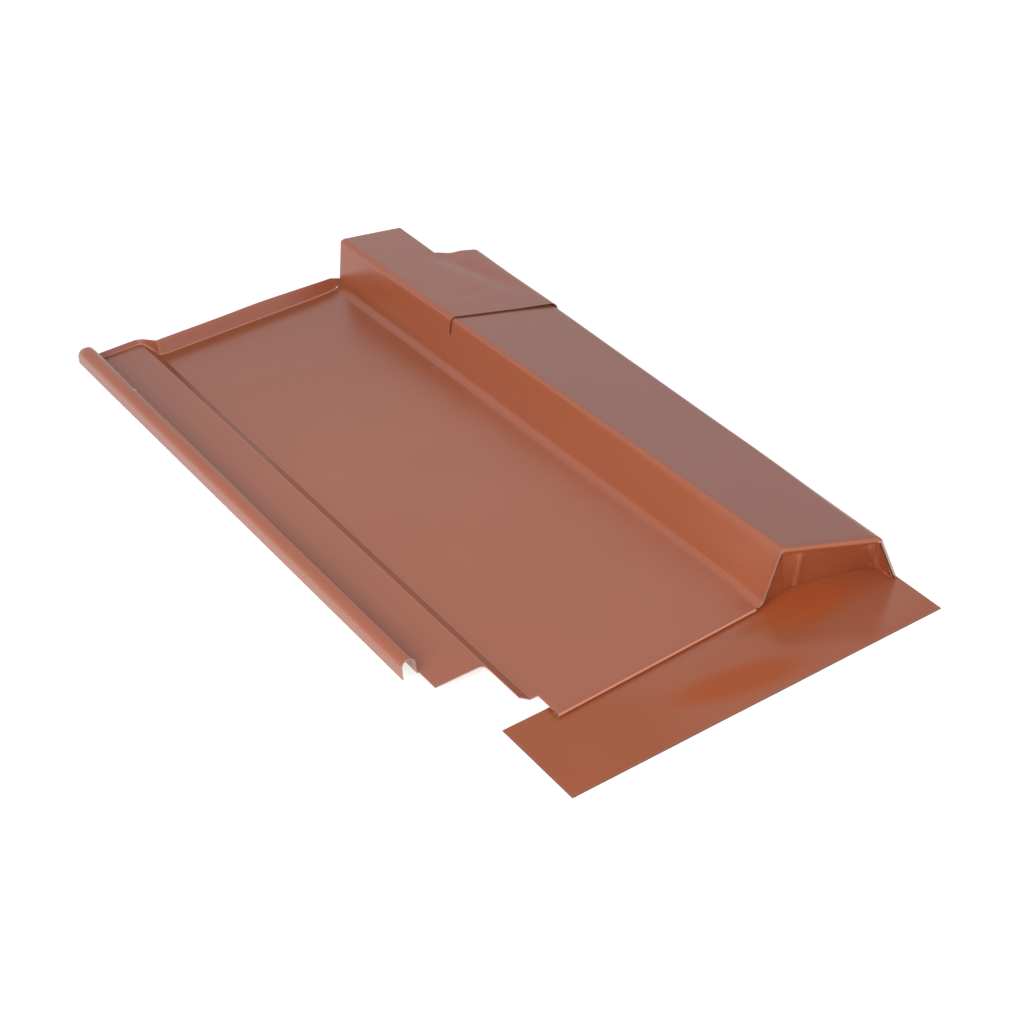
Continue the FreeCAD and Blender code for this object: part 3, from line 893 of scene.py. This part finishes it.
def cut_edge(name, dark, light):
    """Bare galvanised steel along the sheared edges, streaked and partly stained by the coating; with
    near-black colours, as on the cap and apron, it is painted shade along their edges.
    """
    finish = Finish(name)
    shader = finish.shader
    streak = finish.noise(Scale=160.0, Detail=4.0)
    finish.link(finish.mix(streak, dark, light), shader.inputs["Base Color"])
    finish.link(finish.ramp(streak, (0, 1), 0.35, 0.6), shader.inputs["Roughness"])
    shader.inputs["Metallic"].default_value = 0.6
    return finish


# ---- studio --------------------------------------------------------------------------------

LENS = 75.4
CAMERA_PLACE = (-372.9, -625.3, 698.0)            # tile millimetres
CAMERA_FORWARD = (0.4177, 0.6973, -0.5826)
CAMERA_RIGHT = (0.8314, -0.5520, -0.0645)

WORLD_LIGHT = 0.45
FLOOR_TONE = 0.8
FLOOR_GLOW = 0.62                # added where the floor is seen, so that it shows as white
FLOOR_HALF = 6.0
FLOOR_DROP = 0.0004

WHITE = (1, 1, 1)
LAMPS = (                        # name, place, aim, size, watts, colour
    ("key", (-1.5, -1.2, 1.2), (0, 0, 0), (2.2, 1.7), 34, (1, 0.99, 0.97)),
    ("near_key", (-0.75, -0.75, 0.62), (-0.02, -0.05, 0), (0.7, 0.5), 2, WHITE),
    ("left", (-1.5, -0.1, 0.8), (0, 0, 0), (1.0, 0.8), 1, WHITE),
    ("back", (1.1, 1.65, 1.35), (0, 0.05, 0), (2.4, 0.95), 1, WHITE),
    ("front", (0.5, -1.6, 0.7), (0, 0, 0), (1.4, 0.8), 2.5, WHITE),
)


def add_camera():
    """Camera at the front left, looking down over the tile."""
    data = bpy.data.cameras.new("camera")
    camera = bpy.data.objects.new("camera", data)
    bpy.context.collection.objects.link(camera)
    data.sensor_width = 36
    data.lens = LENS
    forward = Vector(CAMERA_FORWARD).normalized()
    right = Vector(CAMERA_RIGHT)
    right = (right - forward * right.dot(forward)).normalized()
    up = right.cross(forward)
    turn = Matrix((right, up, -forward)).transposed().to_4x4()
    camera.matrix_world = Matrix.Translation(place(CAMERA_PLACE)) @ turn
    bpy.context.scene.camera = camera


def add_softbox(name, location, aim, size, power, colour):
    """Large soft area lamp."""
    data = bpy.data.lights.new(name, "AREA")
    data.shape = "RECTANGLE"
    data.size, data.size_y = size
    data.energy = power
    data.color = colour
    lamp = bpy.data.objects.new(name, data)
    bpy.context.collection.objects.link(lamp)
    lamp.location = location
    lamp.rotation_euler = (Vector(aim) - Vector(location)).to_track_quat("-Z", "Y").to_euler()
    return lamp


def seen_in_view(tree):
    """Socket that is 1 for what the camera, gloss and glass see, and 0 for the light on the object."""
    path = tree.nodes.new("ShaderNodeLightPath")
    total = path.outputs["Is Camera Ray"]
    for ray in ("Is Glossy Ray", "Is Transmission Ray"):
        either = tree.nodes.new("ShaderNodeMath")
        tree.links.new(total, either.inputs[0])
        tree.links.new(path.outputs[ray], either.inputs[1])
        total = either.outputs[0]
    return total


def add_world():
    """Plain white surround that shows as white to the camera and in the gloss."""
    world = bpy.data.worlds.new("surround")
    bpy.context.scene.world = world
    world.use_nodes = True
    nodes, links = world.node_tree.nodes, world.node_tree.links
    background = nodes["Background"]
    background.inputs["Color"].default_value = (*WHITE, 1)
    background.inputs["Strength"].default_value = WORLD_LIGHT
    seen = nodes.new("ShaderNodeBackground")
    seen.inputs["Color"].default_value = (*WHITE, 1)
    mix = nodes.new("ShaderNodeMixShader")
    links.new(seen_in_view(world.node_tree), mix.inputs["Fac"])
    links.new(background.outputs[0], mix.inputs[1])
    links.new(seen.outputs[0], mix.inputs[2])
    links.new(mix.outputs[0], nodes["World Output"].inputs["Surface"])


def add_floor():
    """Pale floor just under the tile that keeps its shadow."""
    bm = bmesh.new()
    corners = [(-1, -1), (1, -1), (1, 1), (-1, 1)]
    height = cad_low.z - FLOOR_DROP
    bm.faces.new([bm.verts.new((x * FLOOR_HALF, y * FLOOR_HALF, height)) for x, y in corners])
    mesh = bpy.data.meshes.new("floor")
    bm.to_mesh(mesh)
    bm.free()
    floor = bpy.data.objects.new("floor", mesh)
    bpy.context.collection.objects.link(floor)
    material = bpy.data.materials.new("floor")
    material.use_nodes = True
    nodes, links = material.node_tree.nodes, material.node_tree.links
    nodes.remove(nodes["Principled BSDF"])
    matt = nodes.new("ShaderNodeBsdfDiffuse")
    matt.inputs["Color"].default_value = (FLOOR_TONE, FLOOR_TONE, FLOOR_TONE, 1)
    glow = nodes.new("ShaderNodeEmission")
    share = nodes.new("ShaderNodeMath")
    share.operation = "MULTIPLY"
    share.inputs[1].default_value = FLOOR_GLOW
    total = nodes.new("ShaderNodeAddShader")
    links.new(seen_in_view(material.node_tree), share.inputs[0])
    links.new(share.outputs[0], glow.inputs["Strength"])
    links.new(matt.outputs[0], total.inputs[0])
    links.new(glow.outputs[0], total.inputs[1])
    links.new(total.outputs[0], nodes["Material Output"].inputs["Surface"])
    mesh.materials.append(material)


# ---- scene ------------------------------------------------------------------------------------

coating = coated_sheet("terracotta_coating", (0.36, 0.098, 0.038), (0.40, 0.112, 0.046), 0.24, 0.6)
chip_roll(coating)
apron_coating_painted_reflections = coated_sheet("apron_coating_painted_reflections", (0.35, 0.095, 0.037), (0.39, 0.108, 0.044), 0.2, 0.35)
# Painted reflections on the apron.
paint_apron_reflections(apron_coating_painted_reflections)
# Painted highlight: a paler, glossier coating on the lip's and hem's bends.
fold_highlight_coating = coated_sheet("painted_fold_highlight", (0.52, 0.2, 0.12), (0.62, 0.28, 0.18), 0.2, 0.6)
# Painted sheen on the pleats and the band's folds.
painted_pleat_sheen = coated_sheet("painted_pleat_sheen", (0.41, 0.14, 0.07), (0.46, 0.17, 0.09), 0.2, 0.6)
plate_edge = cut_edge("sheared_edge", (0.35, 0.27, 0.24), (0.6, 0.5, 0.46))
# Painted shade: near-black cut edges of the cap and apron.
shaded_edge = cut_edge("painted_shade_edge", (0.05, 0.035, 0.035), (0.16, 0.13, 0.13))

for maker, node, finishes in (
    (make_plate, "roof_plate", (coating, plate_edge, fold_highlight_coating, painted_pleat_sheen)),
    (make_cap, "saddle_cap", (coating, shaded_edge)),
    (make_apron, "front_apron", (apron_coating_painted_reflections, shaded_edge)),
):
    piece = maker([finish.material for finish in finishes])
    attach(piece, "root")
    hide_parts(node)

add_camera()
add_floor()
add_world()
lamps = {lamp[0]: add_softbox(*lamp) for lamp in LAMPS}
lamps["key"].visible_glossy = False      # its reflection would wash out the views from behind
bpy.context.scene.view_settings.view_transform = "Standard"
